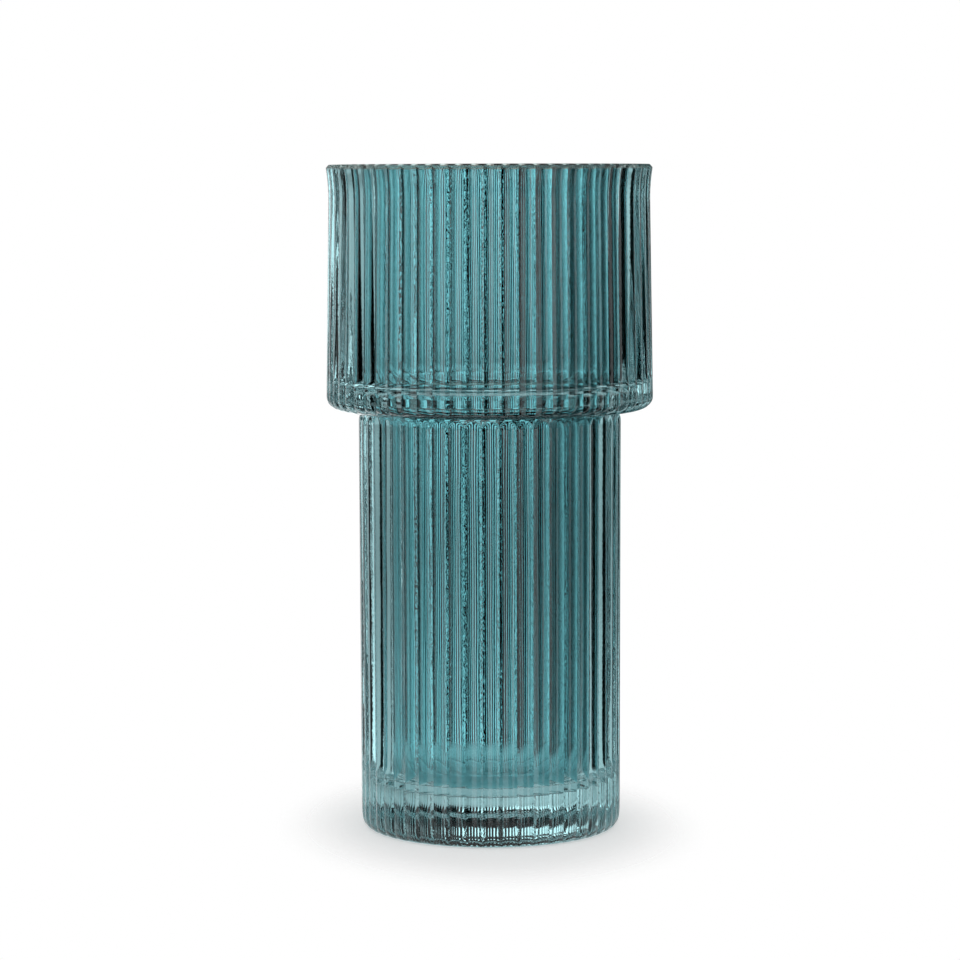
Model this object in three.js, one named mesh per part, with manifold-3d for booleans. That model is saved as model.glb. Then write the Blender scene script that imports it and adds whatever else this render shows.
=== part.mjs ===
import * as THREE from "three";
import { mergeVertices } from "three/addons/utils/BufferGeometryUtils.js";
import Module from "manifold-3d";

// A vase in teal pressed glass, moulded in one piece: a wide ribbed tier above a narrower
// ribbed tier, smooth inside, with a thick solid foot. Millimetres, +Z up. The origin is the
// centre of the face that the vase stands on. Both tiers have a rib valley on the X and Y
// axes, where the halves of a mould would part.

// Heights
const height = 200;
const ledgeHeight = 126.8; // table to the underside of the upper tier
const waistDrop = 10; // rim down to where the upper tier is narrowest
const footThickness = 13.8; // solid glass under the inside floor
const ledgeThickness = 7.7; // glass between the underside and the inside step

// Radii over the crests of the ribs
const upperRadius = 49.15; // upper tier, just above its lower corner
const waistInset = 0.95; // how far the waist draws in from upperRadius
const rimFlare = 0.7; // how far the rim flares out again from the waist
const lowerRadius = 39.5; // lower tier, just under the ledge
const footInset = 0.2; // how far the foot draws in from lowerRadius

// Walls, measured from the crests of the ribs to the smooth inside
const upperWall = 4;
const lowerWall = 4;

// Ribs: convex outside, meeting in sharp valleys
const upperRibCount = 60;
const lowerRibCount = 48;
const ribDepth = 0.8;

// Rounded and bevelled edges
const ledgeCornerWidth = 4.6;
const ledgeCornerHeight = 3.8;
const footCornerWidth = 2.4;
const footCornerHeight = 4.2;
const rimBevelWidth = 0.9; // a cone ground off the rim, as deep as the ribs
const rimBevelHeight = 1;
const mouthBevel = 0.6;
const floorFillet = 8;
const innerLip = 2.5; // convex edge of the step inside
const innerCorner = 2.5; // hollow edge where the step meets the upper wall

// How finely the curves are cut into facets
const facetsPerRib = 4;
const innerFacets = 96;
const arcSteps = 4;
const buried = 2; // how far joined or cutting shapes run past each other

// ---- Shapes turned about the Z axis ---------------------------------------------------

// Points of a quarter ellipse, from one direction to another, in degrees from straight out.
function quarter(centreRadius, centreZ, width, height, from, to) {
  const points = [];
  for (let step = 0; step <= arcSteps; step += 1) {
    const angle = THREE.MathUtils.degToRad(from + ((to - from) * step) / arcSteps);
    const radius = centreRadius + width * Math.cos(angle);
    const z = centreZ + height * Math.sin(angle);
    points.push(new THREE.Vector2(radius, z));
  }
  return points;
}

// A profile of (radius, height) points, turned into a closed body that stands along +Z.
function turned(profile, facets) {
  const geometry = new THREE.LatheGeometry(profile, facets);
  geometry.rotateX(Math.PI / 2);
  return geometry;
}

// One level of a ribbed body: radius over the crests, height, and depth of the valleys.
function level(radius, z, depth) {
  return { radius, z, depth };
}

// The levels of a rounded lower corner, on which the ribs fade out towards the flat face.
function roundedCorner(radius, z, width, cornerHeight) {
  const inner = radius - width;
  return quarter(inner, z + cornerHeight, width, cornerHeight, -90, 0).map((point) =>
    level(point.x, point.y, (ribDepth * (point.x - inner)) / width),
  );
}

// A turned body whose outside is drawn in between evenly spaced crests.
function ribbed(levels, ribCount) {
  const profile = levels.map((at) => new THREE.Vector2(at.radius, at.z));
  const geometry = turned(profile, ribCount * facetsPerRib);
  const position = geometry.attributes.position;
  for (let i = 0; i < position.count; i += 1) {
    const { radius, depth } = levels[i % levels.length];
    const column = Math.floor(i / levels.length);
    const acrossRib = (column % facetsPerRib) / facetsPerRib; // 0 in a valley, 0.5 on a crest
    const drawnIn = depth * (2 * acrossRib - 1) ** 2;
    const scale = radius > 0 ? (radius - drawnIn) / radius : 1;
    position.setXY(i, position.getX(i) * scale, position.getY(i) * scale);
  }
  return geometry;
}

// ---- Joining and cutting --------------------------------------------------------------

const wasm = await Module();
wasm.setup();

function solid(geometry) {
  geometry.deleteAttribute("normal");
  geometry.deleteAttribute("uv");
  const merged = mergeVertices(geometry);
  const corners = merged.index.array;
  const triVerts = [];
  for (let i = 0; i < corners.length; i += 3) {
    const [a, b, c] = corners.slice(i, i + 3);
    if (a !== b && b !== c && c !== a) {
      triVerts.push(a, b, c);
    }
  }
  return new wasm.Manifold(
    new wasm.Mesh({
      numProp: 3,
      vertProperties: merged.attributes.position.array,
      triVerts: new Uint32Array(triVerts),
    }),
  );
}

function geometryOf(body) {
  const mesh = body.getMesh();
  const geometry = new THREE.BufferGeometry();
  geometry.setAttribute("position", new THREE.BufferAttribute(mesh.vertProperties, 3));
  geometry.setIndex(new THREE.BufferAttribute(mesh.triVerts, 1));
  geometry.computeVertexNormals();
  return geometry;
}

// ---- The outside ----------------------------------------------------------------------

function upperTier() {
  const waistRadius = upperRadius - waistInset;
  const rimRadius = waistRadius + rimFlare;
  const depthAtTop = Math.max(0, ribDepth - rimBevelWidth); // what the bevel leaves of the ribs
  const levels = [
    level(0, ledgeHeight, 0),
    ...roundedCorner(upperRadius, ledgeHeight, ledgeCornerWidth, ledgeCornerHeight),
    level(waistRadius, height - waistDrop, ribDepth),
    level(rimRadius, height - rimBevelHeight, ribDepth),
    level(rimRadius - rimBevelWidth, height, depthAtTop),
    level(0, height, 0),
  ];
  return ribbed(levels, upperRibCount);
}

function lowerTier() {
  const footRadius = lowerRadius - footInset;
  const levels = [
    level(0, 0, 0),
    ...roundedCorner(footRadius, 0, footCornerWidth, footCornerHeight),
    level(lowerRadius, ledgeHeight + buried, ribDepth),
    level(0, ledgeHeight + buried, 0),
  ];
  return ribbed(levels, lowerRibCount);
}

// ---- The inside -----------------------------------------------------------------------

function hollow() {
  const lowerBore = lowerRadius - lowerWall;
  const upperBore = upperRadius - waistInset - upperWall;
  const mouthBore = upperBore + rimFlare;
  const stepHeight = ledgeHeight + ledgeThickness;
  const stepWidth = upperBore - lowerBore;
  const lip = Math.min(innerLip, stepWidth / 2); // the two roundings share the step's width
  const corner = Math.min(innerCorner, stepWidth / 2);
  const past = mouthBevel + buried;
  const profile = [
    new THREE.Vector2(0, footThickness),
    ...quarter(lowerBore - floorFillet, footThickness + floorFillet, floorFillet, floorFillet, -90, 0),
    ...quarter(lowerBore + lip, stepHeight - lip, lip, lip, 180, 90),
    ...quarter(upperBore - corner, stepHeight + corner, corner, corner, -90, 0),
    new THREE.Vector2(upperBore, height - waistDrop),
    new THREE.Vector2(mouthBore, height - mouthBevel),
    new THREE.Vector2(mouthBore + past, height - mouthBevel + past),
    new THREE.Vector2(0, height - mouthBevel + past),
  ];
  return turned(profile, innerFacets);
}

// ---- The vase -------------------------------------------------------------------------

const tealGlass = new THREE.MeshStandardMaterial({
  color: new THREE.Color(0.19, 0.42, 0.47),
  roughness: 0.05,
  metalness: 0,
});

const body = solid(upperTier()).add(solid(lowerTier())).subtract(solid(hollow()));
const vaseBody = new THREE.Mesh(geometryOf(body), tealGlass);
vaseBody.name = "vase_body";

const vase = new THREE.Group();
vase.add(vaseBody);

export default vase;
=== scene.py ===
import math

import bmesh
import bpy
from mathutils import Matrix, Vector
from mathutils.kdtree import KDTree


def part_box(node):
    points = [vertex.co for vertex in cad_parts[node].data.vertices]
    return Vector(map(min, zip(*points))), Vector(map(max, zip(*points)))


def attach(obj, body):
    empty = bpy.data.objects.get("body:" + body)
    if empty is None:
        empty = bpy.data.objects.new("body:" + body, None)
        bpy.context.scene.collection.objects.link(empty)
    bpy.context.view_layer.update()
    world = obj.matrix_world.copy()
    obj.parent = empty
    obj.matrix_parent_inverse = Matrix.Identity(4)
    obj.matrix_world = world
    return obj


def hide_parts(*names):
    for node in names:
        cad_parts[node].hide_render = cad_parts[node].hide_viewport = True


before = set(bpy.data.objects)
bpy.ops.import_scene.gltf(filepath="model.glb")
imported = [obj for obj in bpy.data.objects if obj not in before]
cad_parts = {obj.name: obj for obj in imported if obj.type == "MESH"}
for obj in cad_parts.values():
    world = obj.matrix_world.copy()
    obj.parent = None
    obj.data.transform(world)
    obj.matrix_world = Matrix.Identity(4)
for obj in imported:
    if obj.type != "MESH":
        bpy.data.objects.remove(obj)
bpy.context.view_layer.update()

# ---- Camera ---------------------------------------------------------------------------
# The eye is about a metre from the vase, just above its rim and a few degrees round to the
# left of its front. It looks down slightly, through a long lens.

CAMERA_DISTANCE = 1.0054
CAMERA_HEIGHT = 0.2054
CAMERA_TURN = math.radians(-4.1)
CAMERA_PITCH = math.radians(-5.70)
CAMERA_YAW = math.radians(0.171)
CAMERA_ROLL = math.radians(-0.17)
SENSOR_WIDTH = 36
FOCAL_LENGTH = 125.4

camera_data = bpy.data.cameras.new("camera")
camera_data.sensor_width = SENSOR_WIDTH
camera_data.lens = FOCAL_LENGTH
camera_data.clip_start = 0.05
camera = bpy.data.objects.new("camera", camera_data)
bpy.context.collection.objects.link(camera)
camera.matrix_world = (
    Matrix.Rotation(CAMERA_TURN, 4, "Z")
    @ Matrix.Translation((0, -CAMERA_DISTANCE, CAMERA_HEIGHT))
    @ Matrix.Rotation(CAMERA_YAW, 4, "Z")
    @ Matrix.Rotation(math.radians(90) + CAMERA_PITCH, 4, "X")
    @ Matrix.Rotation(CAMERA_ROLL, 4, "Z")
)
bpy.context.scene.camera = camera

# ---- Vase body: shape -----------------------------------------------------------------
# One piece of glass, pressed into a ribbed mould in two tiers, with its rim ground to a
# bevel. The plunger leaves the inside smooth, with one rounded step behind the ledge, over a
# thick solid foot. A sector of five upper and four lower ribs is modelled and copied round.

MM = 0.001
SECTORS = 12
UPPER_RIBS = 5  # in a sector
LOWER_RIBS = 4
COLUMNS = 40  # of faces in a sector: eight to an upper rib, ten to a lower one
SECTOR_ANGLE = 2 * math.pi / SECTORS
MERGE = 0.01 * MM
SMOOTH_BELOW = math.radians(35)

low_corner, high_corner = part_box("vase_body")
HEIGHT = high_corner.z
UPPER_RADIUS = high_corner.x / math.cos(SECTOR_ANGLE / UPPER_RIBS / 2)
WAIST_RADIUS = UPPER_RADIUS - 0.95 * MM  # where the upper tier is narrowest
RIM_RADIUS = WAIST_RADIUS + 0.7 * MM
LOWER_RADIUS = 39.5 * MM
FOOT_RADIUS = LOWER_RADIUS - 0.2 * MM
LEDGE_HEIGHT = 126.8 * MM
WAIST_HEIGHT = HEIGHT - 10 * MM
WALL = 4 * MM
FOOT_THICKNESS = 13.8 * MM
STEP_HEIGHT = LEDGE_HEIGHT + 7.7 * MM  # of the step inside
STEP_ROUNDING = 2.5 * MM
RIB_DEPTH = 0.8 * MM
LEDGE_CORNER = (4.6 * MM, 3.8 * MM)
FOOT_CORNER = (2.4 * MM, 4.2 * MM)
RIM_BEVEL = (0.9 * MM, 1.0 * MM)
MOUTH_BEVEL = 0.6 * MM
FLOOR_FILLET = 8 * MM
PLAIN_BAND = 1.2 * MM  # between the ledge and the ends of the lower ribs
RIB_END = 2.2 * MM  # height over which a lower rib rounds off
JUNCTION = 0.5 * MM  # fillet between the plain band and the ledge


def arc(centre, size, start, end, steps):
    """Points of an ellipse, between two directions in degrees from straight out."""
    points = []
    for step in range(steps + 1):
        angle = math.radians(start + (end - start) * step / steps)
        points.append((centre[0] + size[0] * math.cos(angle), centre[1] + size[1] * math.sin(angle)))
    return points


def line(start, end, steps):
    """Points from start to end, the first left out."""
    shares = [step / steps for step in range(1, steps + 1)]
    return [tuple(a + (b - a) * share for a, b in zip(start, end)) for share in shares]


foot_edge = FOOT_RADIUS - FOOT_CORNER[0]
ledge_edge = UPPER_RADIUS - LEDGE_CORNER[0]
band_radius = LOWER_RADIUS - RIB_DEPTH
band_bottom = LEDGE_HEIGHT - PLAIN_BAND
end_bottom = band_bottom - RIB_END
bevel_bottom = HEIGHT - RIM_BEVEL[1]
waist_bore = WAIST_RADIUS - WALL
mouth_bore = RIM_RADIUS - WALL
lower_bore = LOWER_RADIUS - WALL
fillet = (FLOOR_FILLET, FLOOR_FILLET)
rounding = (STEP_ROUNDING, STEP_ROUNDING)

# The stretches of the outline in order, from the axis under the foot to the axis inside.
underside = line((0, 0), (foot_edge, 0), 3)[:-1]
foot_corner = arc((foot_edge, FOOT_CORNER[1]), FOOT_CORNER, -90, 0, 8)
lower_wall = line(foot_corner[-1], (LOWER_RADIUS, end_bottom), 24)
rib_ends = line(lower_wall[-1], (LOWER_RADIUS, band_bottom), 6)
band = [(LOWER_RADIUS, LEDGE_HEIGHT - JUNCTION)]
junction = arc((band_radius + JUNCTION, LEDGE_HEIGHT - JUNCTION), (JUNCTION, JUNCTION), 180, 90, 4)[1:]
ledge_corner = arc((ledge_edge, LEDGE_HEIGHT + LEDGE_CORNER[1]), LEDGE_CORNER, -90, 0, 9)
upper_wall = line(ledge_corner[-1], (WAIST_RADIUS, WAIST_HEIGHT), 14)
flare = []
for share in (0.2, 0.4, 0.6, 0.8, 1):
    flare_radius = WAIST_RADIUS + (RIM_RADIUS - WAIST_RADIUS) * share**2
    flare.append((flare_radius, WAIST_HEIGHT + (bevel_bottom - WAIST_HEIGHT) * share))

rim = [
    (RIM_RADIUS - RIM_BEVEL[0], HEIGHT),
    (mouth_bore + MOUTH_BEVEL, HEIGHT),
    *arc((mouth_bore + MOUTH_BEVEL, HEIGHT - MOUTH_BEVEL), (MOUTH_BEVEL, MOUTH_BEVEL), 90, 180, 3)[1:],
]
upper_inside = [(radius - WALL, z) for radius, z in reversed(flare[:-1])] + [(waist_bore, WAIST_HEIGHT)]
upper_inside += line((waist_bore, WAIST_HEIGHT), (waist_bore, STEP_HEIGHT + STEP_ROUNDING), 12)[:-1]
step_corner = arc((waist_bore - STEP_ROUNDING, STEP_HEIGHT + STEP_ROUNDING), rounding, 0, -90, 6)
step_lip = arc((lower_bore + STEP_ROUNDING, STEP_HEIGHT - STEP_ROUNDING), rounding, 90, 180, 6)
lower_inside = line(step_lip[-1], (lower_bore, FOOT_THICKNESS + FLOOR_FILLET), 20)[:-1]
floor_fillet = arc((lower_bore - FLOOR_FILLET, FOOT_THICKNESS + FLOOR_FILLET), fillet, 0, -90, 8)
inside_floor = line(floor_fillet[-1], (0, FOOT_THICKNESS), 3)

outline = [(0, 0)]
for stretch in (underside, foot_corner, lower_wall, rib_ends, band, junction, ledge_corner, upper_wall,
                flare, rim, upper_inside, step_corner, step_lip, lower_inside, floor_fillet, inside_floor):
    outline += stretch

bpy.ops.object.select_all(action="DESELECT")
bpy.ops.mesh.primitive_plane_add(size=MM)
vase = bpy.context.object
vase.name = "vase_glass"
vase.data.name = "vase_glass"
bpy.ops.object.mode_set(mode="EDIT")
bpy.ops.mesh.merge(type="CENTER")
for (r0, z0), (r1, z1) in zip(outline, outline[1:]):
    bpy.ops.mesh.extrude_vertices_move(TRANSFORM_OT_translate={"value": (0, r0 - r1, z1 - z0)})
bpy.ops.mesh.select_all(action="SELECT")
bpy.ops.mesh.spin(steps=COLUMNS, angle=SECTOR_ANGLE, center=(0, 0, 0), axis=(0, 0, 1))
bpy.ops.mesh.remove_doubles(threshold=MERGE)

nearest = KDTree(len(outline))
for index, (radius, z) in enumerate(outline):
    nearest.insert((radius, z, 0), index)
nearest.balance()
grid = {point: {} for point in outline}  # the vertices of each outline point, by column
for vertex in bmesh.from_edit_mesh(vase.data).verts:
    index = nearest.find((math.hypot(vertex.co.x, vertex.co.y), vertex.co.z, 0))[1]
    column = abs(round(math.atan2(vertex.co.x, -vertex.co.y) / SECTOR_ANGLE * COLUMNS))
    grid[outline[index]].setdefault(column, []).append(vertex.index)


def draw_in(points, ribs, depth_at, lift=0):
    """Draws the vertices of outline points in towards the axis, most in the rib valleys.

    depth_at gives groups of points with the depth of each. lift is how far a vertex rises
    for each metre that it is drawn in, which keeps it on the ground cone of the rim.
    """
    across = COLUMNS // ribs
    for place in range(across // 2 + 1):
        valley_share = (1 - 2 * place / across) ** 2
        for depth, group in depth_at(points, valley_share):
            if depth <= 0:
                continue
            bpy.ops.mesh.select_all(action="DESELECT")
            edit = bmesh.from_edit_mesh(vase.data)
            edit.verts.ensure_lookup_table()
            for point in group:
                for column, found in grid[point].items():
                    if column % across in (place, across - place):
                        for index in found:
                            edit.verts[index].select = True
            edit.select_flush_mode()
            scale = 1 - depth / group[0][0]
            bpy.ops.transform.resize(value=(scale, scale, 1), center_override=(0, 0, 0))
            if lift:
                bpy.ops.transform.translate(value=(0, 0, lift * depth))


def full_depth(points, valley_share):
    return [(RIB_DEPTH * valley_share, points)]


def fading(edge, width):
    return lambda points, valley_share: [
        (RIB_DEPTH * valley_share * (radius - edge) / width, [(radius, z)]) for radius, z in points
    ]


def rounding_off(points, valley_share):
    return [
        (RIB_DEPTH * min(1, valley_share + ((z - end_bottom) / RIB_END) ** 2), [(radius, z)])
        for radius, z in points
    ]


draw_in(foot_corner, LOWER_RIBS, fading(foot_edge, FOOT_CORNER[0]))
draw_in(lower_wall, LOWER_RIBS, full_depth)
draw_in(rib_ends + band, LOWER_RIBS, rounding_off)
draw_in(ledge_corner, UPPER_RIBS, fading(ledge_edge, LEDGE_CORNER[0]))
draw_in(upper_wall + flare[:-1], UPPER_RIBS, full_depth)
draw_in(flare[-1:], UPPER_RIBS, full_depth, lift=RIM_BEVEL[1] / RIM_BEVEL[0])

bpy.ops.mesh.select_all(action="SELECT")
bpy.ops.mesh.spin(
    steps=SECTORS - 1, angle=SECTOR_ANGLE * (SECTORS - 1), dupli=True, center=(0, 0, 0), axis=(0, 0, 1)
)
bpy.ops.mesh.select_all(action="SELECT")
bpy.ops.mesh.remove_doubles(threshold=MERGE)
bpy.ops.mesh.normals_make_consistent(inside=False)
bpy.ops.object.mode_set(mode="OBJECT")
bpy.ops.object.shade_smooth_by_angle(angle=SMOOTH_BELOW)

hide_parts("vase_body")
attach(vase, "root")

# ---- Vase body: glass -----------------------------------------------------------------
# Teal soda glass, with a slight unevenness of tint. The mould leaves a long soft swell on the
# outside, and wriggling lines in the valleys of the ribs, while the crests are fire-polished.
# The ground bevel of the rim is slightly matt, and looks warm grey.

GLASS_TINT = (0.385, 0.68, 0.715)
TINT_LEAST = 0.9
TINT_RANGE = 0.2
TINT_SCALE = 60.0
REFRACTION = 1.5
GROUND_TINT = (0.5, 0.45, 0.4, 1)
GROUND_ROUGHNESS = 0.25
ALONG_RIBS = 0.16  # how much less the swell and the tint vary along a rib than across it
SQUIGGLE_SCALE = 1300.0
SQUIGGLE_IN_VALLEYS = 0.05 * MM
SQUIGGLE_ON_CRESTS = 0.002 * MM
SWELL_SCALE = 190.0
SWELL_HEIGHT = 0.2 * MM
SKIN = 2.2 * MM  # depth under the crests, outside which the glass has the marks of the mould


class Wire:
    """A socket of a node tree, so that shader sums can be written as plain expressions."""

    def __init__(self, tree, socket=None):
        self.tree = tree
        self.socket = socket

    def node(self, kind, settings, inputs, output=0):
        made = self.tree.nodes.new(kind)
        for name, value in settings.items():
            setattr(made, name, value)
        for name, value in inputs.items():
            if isinstance(value, Wire):
                self.tree.links.new(value.socket, made.inputs[name])
            else:
                made.inputs[name].default_value = value
        return Wire(self.tree, made.outputs[output])

    def maths(self, operation, first, second):
        return self.node("ShaderNodeMath", {"operation": operation}, {0: first, 1: second})

    def __add__(self, other):
        return self.maths("ADD", self, other)

    def __radd__(self, other):
        return self.maths("ADD", other, self)

    def __sub__(self, other):
        return self.maths("SUBTRACT", self, other)

    def __rsub__(self, other):
        return self.maths("SUBTRACT", other, self)

    def __mul__(self, other):
        return self.maths("MULTIPLY", self, other)

    def __rmul__(self, other):
        return self.maths("MULTIPLY", other, self)


glass = bpy.data.materials.new("teal_glass")
glass.use_nodes = True
tree = Wire(glass.node_tree)
place = tree.node("ShaderNodeTexCoord", {}, {}, "Object")
sideways = tree.node("ShaderNodeSeparateXYZ", {}, {0: place}, "X")
depthways = tree.node("ShaderNodeSeparateXYZ", {}, {0: place}, "Y")
up = tree.node("ShaderNodeSeparateXYZ", {}, {0: place}, "Z")
flat_place = tree.node("ShaderNodeVectorMath", {"operation": "MULTIPLY"}, {0: place, 1: (1, 1, 0)})
from_axis = tree.node("ShaderNodeVectorMath", {"operation": "LENGTH"}, {0: flat_place}, "Value")
in_upper = tree.node("ShaderNodeMapRange", {}, {0: up, 1: LEDGE_HEIGHT - MM, 2: LEDGE_HEIGHT})
skin = LOWER_RADIUS - SKIN + in_upper * (WAIST_RADIUS - LOWER_RADIUS)
outside = tree.node("ShaderNodeMath", {"operation": "GREATER_THAN"}, {0: from_axis, 1: skin})

# 1 in a valley, and 0 over most of a rib
ribs_round = SECTORS * (LOWER_RIBS + (UPPER_RIBS - LOWER_RIBS) * in_upper)
bearing = tree.node("ShaderNodeMath", {"operation": "ARCTAN2"}, {0: sideways, 1: depthways})
turns = bearing * (0.5 / math.pi)
across_rib = tree.node("ShaderNodeMath", {"operation": "FRACT"}, {0: turns * ribs_round})
from_crest = tree.node("ShaderNodeMath", {"operation": "ABSOLUTE"}, {0: 2 * across_rib - 1})
valley = from_crest * from_crest * from_crest

along = {0: place, 1: (1, 1, ALONG_RIBS)}
stretched = tree.node("ShaderNodeVectorMath", {"operation": "MULTIPLY"}, along)
fine = {"Vector": place, "Scale": SQUIGGLE_SCALE, "Detail": 1.0}
squiggle = tree.node("ShaderNodeTexNoise", {}, fine, "Fac")
long_waves = {"Vector": stretched, "Scale": SWELL_SCALE, "Detail": 1.0}
swell = tree.node("ShaderNodeTexNoise", {}, long_waves, "Fac")
squiggle_height = valley * SQUIGGLE_IN_VALLEYS + SQUIGGLE_ON_CRESTS
relief = outside * (squiggle * squiggle_height + swell * SWELL_HEIGHT)
bump = {"Strength": 1.0, "Distance": 1.0, "Height": relief}
surface = tree.node("ShaderNodeBump", {}, bump, "Normal")

patches = {"Vector": stretched, "Scale": TINT_SCALE, "Detail": 2.0}
cloud = tree.node("ShaderNodeTexNoise", {}, patches, "Fac")
teal_depth = {0: GLASS_TINT, "Scale": TINT_LEAST + TINT_RANGE * cloud}
teal = tree.node("ShaderNodeVectorMath", {"operation": "SCALE"}, teal_depth)
bevel_start = {0: up, 1: HEIGHT - RIM_BEVEL[1]}
ground = tree.node("ShaderNodeMath", {"operation": "GREATER_THAN"}, bevel_start)
tint = tree.node("ShaderNodeMix", {"data_type": "RGBA"}, {0: ground, 6: teal, 7: GROUND_TINT}, 2)
roughness = GROUND_ROUGHNESS * ground

shader = glass.node_tree.nodes["Principled BSDF"]
shader.inputs["IOR"].default_value = REFRACTION
shader.inputs["Transmission Weight"].default_value = 1
glass.node_tree.links.new(tint.socket, shader.inputs["Base Color"])
glass.node_tree.links.new(roughness.socket, shader.inputs["Roughness"])
glass.node_tree.links.new(surface.socket, shader.inputs["Normal"])
vase.data.materials.clear()
vase.data.materials.append(glass)

# ---- Floor ----------------------------------------------------------------------------
# A small pale table top. It glows a little though it is no lamp, which is painted light, so that the
# shadow round the foot stays soft.
# It is greyer than the white surround, so the shadow round the foot is partly cast by the lights and
# partly painted.
# It fades out into the white surround in an oval that reaches furthest in front and behind, and that oval
# shapes the painted shadow.

FLOOR_RADIUS = 0.2
FLOOR_DROP = 0.2 * MM  # keeps it clear of the face that the vase stands on
# Painted shadow: out to these reaches the disc stays greyer than the white surround, further in front and
# behind than at the sides
FADE_START = 0.045
FADE_END = 0.088
PAINTED_SHADOW_OVAL = (1.3, 0.88, 1)
FLOOR_WHITE = (0.85, 0.85, 0.85, 1)
FLOOR_ROUGHNESS = 0.9
FLOOR_GLOW = 0.47


def fade(tree, value, start, end):
    """0 where value is at start, 1 where it is at end, and smooth between them."""
    smooth = {"interpolation_type": "SMOOTHSTEP"}
    return tree.node("ShaderNodeMapRange", smooth, {0: value, 1: start, 2: end})


bpy.ops.object.select_all(action="DESELECT")
bpy.ops.mesh.primitive_circle_add(
    vertices=128, radius=FLOOR_RADIUS, fill_type="NGON", location=(0, 0, -FLOOR_DROP)
)
floor = bpy.context.object
floor.name = "floor"
paper = bpy.data.materials.new("white_floor")
paper.use_nodes = True
tree = Wire(paper.node_tree)
place = tree.node("ShaderNodeTexCoord", {}, {}, "Object")
# Painted shadow: the floor is opaque and greyer inside this oval, and clear to the white surround beyond
# it
oval = tree.node("ShaderNodeVectorMath", {"operation": "MULTIPLY"}, {0: place, 1: PAINTED_SHADOW_OVAL})
reach = tree.node("ShaderNodeVectorMath", {"operation": "LENGTH"}, {0: oval}, "Value")
beyond = fade(tree, reach, FADE_START, FADE_END)
top = paper.node_tree.nodes["Principled BSDF"]
top.inputs["Base Color"].default_value = FLOOR_WHITE
top.inputs["Roughness"].default_value = FLOOR_ROUGHNESS
# Painted light: the floor glows though it is no lamp
top.inputs["Emission Color"].default_value = (1, 1, 1, 1)
top.inputs["Emission Strength"].default_value = FLOOR_GLOW
opaque = Wire(paper.node_tree, top.outputs[0])
clear = tree.node("ShaderNodeBsdfTransparent", {}, {})
faded = tree.node("ShaderNodeMixShader", {}, {0: beyond, 1: opaque, 2: clear})
paper.node_tree.links.new(faded.socket, paper.node_tree.nodes["Material Output"].inputs["Surface"])
floor.data.materials.append(paper)

# ---- Studio light ---------------------------------------------------------------------
# Upright light boxes stand round the vase, from far below the horizon to just above it, with
# dark gaps between them that draw the ribs. Their light comes again in a narrow strip higher
# up, which lights the foot. The ceiling is lit too, and the camera sees a white surround.

# Bearing in degrees from straight behind the vase, as the camera sees it, positive to the
# right; half width in degrees; brightness.
LIGHT_BOXES = [
    (-168, 20, 1.3),
    (-90, 11, 0.5),
    (-58, 7, 0.7),
    (-34, 7, 1.6),
    (-9, 7, 1.6),
    (46, 7, 0.8),
    (127, 9, 1.2),
]
BOX_CORE = 0.8  # share of the half width over which a box has its full brightness
BOX_EDGE = 1.2  # share of the half width at which its light ends
STRIP = 0.95  # how bright the strip is, next to the boxes
CEILING = 0.6
UPPER_WALLS = 0.3

# Heights are the upward parts of a direction one unit long, so 0 is level.
BOX_TOP = (0.02, 0.07)
STRIP_BOTTOM = (0.17, 0.19)
STRIP_TOP = (0.215, 0.235)
CEILING_EDGE = (0.55, 0.75)
GLOW_HEIGHT = (-0.05, 0.0)  # from here up, the boxes are brighter
GLOW = 0.25
DIM_HEIGHT = -0.115  # about here, they are dimmer
DIM_REACH = 0.07
DIM = 0.35

# The upper walls are dark behind the vase. These are cosines of the angle from straight behind.
ASIDE = (0.85, 0.6)

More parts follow.
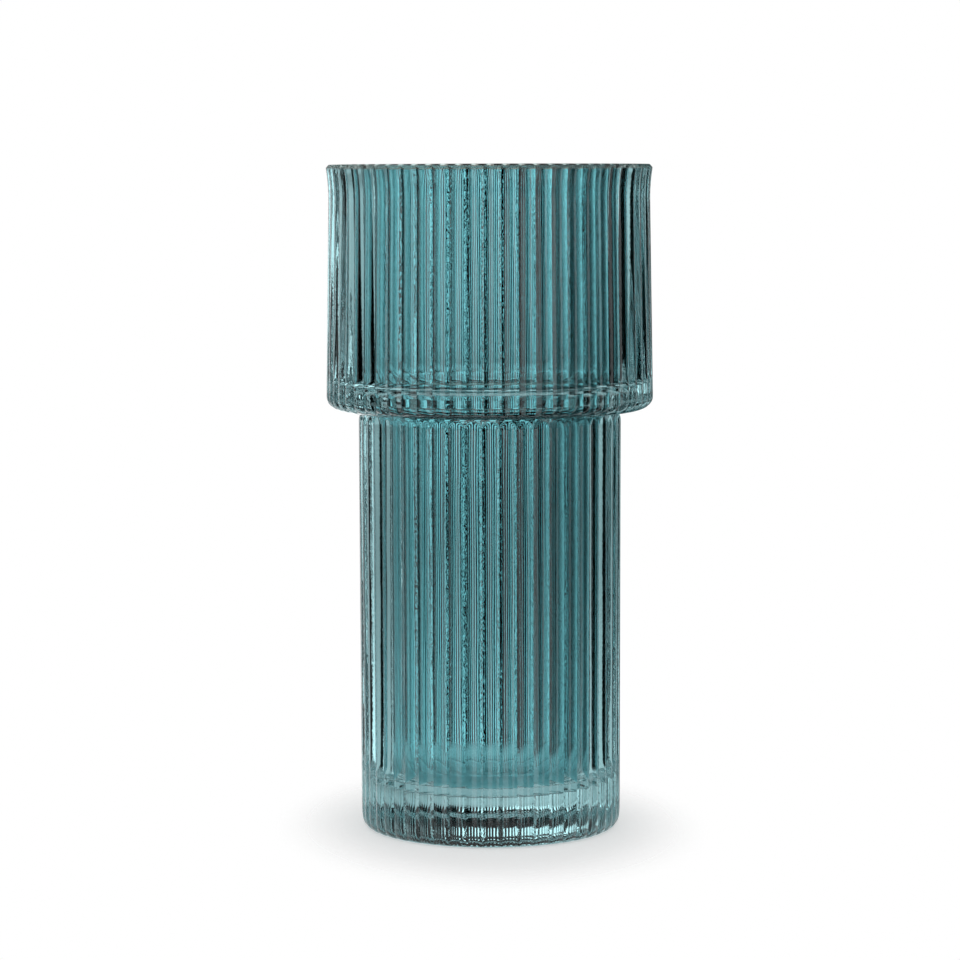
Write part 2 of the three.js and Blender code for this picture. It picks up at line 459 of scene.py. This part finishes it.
world = bpy.data.worlds.new("studio")
bpy.context.scene.world = world
world.use_nodes = True
tree = Wire(world.node_tree)
towards = tree.node("ShaderNodeTexCoord", {}, {}, "Generated")
flattened = tree.node("ShaderNodeVectorMath", {"operation": "MULTIPLY"}, {0: towards, 1: (1, 1, 0)})
level = tree.node("ShaderNodeVectorMath", {"operation": "NORMALIZE"}, {0: flattened})
height = tree.node("ShaderNodeSeparateXYZ", {}, {0: towards}, "Z")


def facing(bearing):
    """The cosine of the angle between a direction and a bearing, seen from above."""
    angle = CAMERA_TURN - math.radians(bearing)
    outwards = (-math.sin(angle), math.cos(angle), 0)
    directions = {0: level, 1: outwards}
    return tree.node("ShaderNodeVectorMath", {"operation": "DOT_PRODUCT"}, directions, "Value")


boxes = 0
for bearing, half_width, brightness in LIGHT_BOXES:
    edge = math.cos(math.radians(half_width * BOX_EDGE))
    core = math.cos(math.radians(half_width * BOX_CORE))
    boxes = fade(tree, facing(bearing), edge, core) * brightness + boxes
above_boxes = fade(tree, height, *BOX_TOP)
in_strip = fade(tree, height, *STRIP_BOTTOM)
above_strip = fade(tree, height, *STRIP_TOP)
overhead = fade(tree, height, *CEILING_EDGE)
from_dim = tree.node("ShaderNodeMath", {"operation": "ABSOLUTE"}, {0: height - DIM_HEIGHT})
dimmed = fade(tree, from_dim, DIM_REACH, 0.0)
glowing = fade(tree, height, *GLOW_HEIGHT)
aside = fade(tree, facing(0), *ASIDE)
box_heights = 1 - above_boxes + (in_strip - above_strip) * STRIP
box_shade = 1 - dimmed * DIM + glowing * GLOW
upper_walls = aside * (above_strip - overhead) * UPPER_WALLS
studio = boxes * box_heights * box_shade + upper_walls + overhead * CEILING
seen = tree.node("ShaderNodeLightPath", {}, {}, "Is Camera Ray")
light = seen + (1 - seen) * studio
background = world.node_tree.nodes["Background"]
world.node_tree.links.new(light.socket, background.inputs["Strength"])
background.inputs["Color"].default_value = (1, 1, 1, 1)

BOUNCES = 24  # a ray crosses many walls and ribs of glass on its way through

scene = bpy.context.scene
scene.view_settings.view_transform = "Standard"
scene.cycles.max_bounces = BOUNCES
scene.cycles.transmission_bounces = BOUNCES
scene.cycles.glossy_bounces = BOUNCES // 2
scene.cycles.transparent_max_bounces = BOUNCES
scene.cycles.use_denoising = True
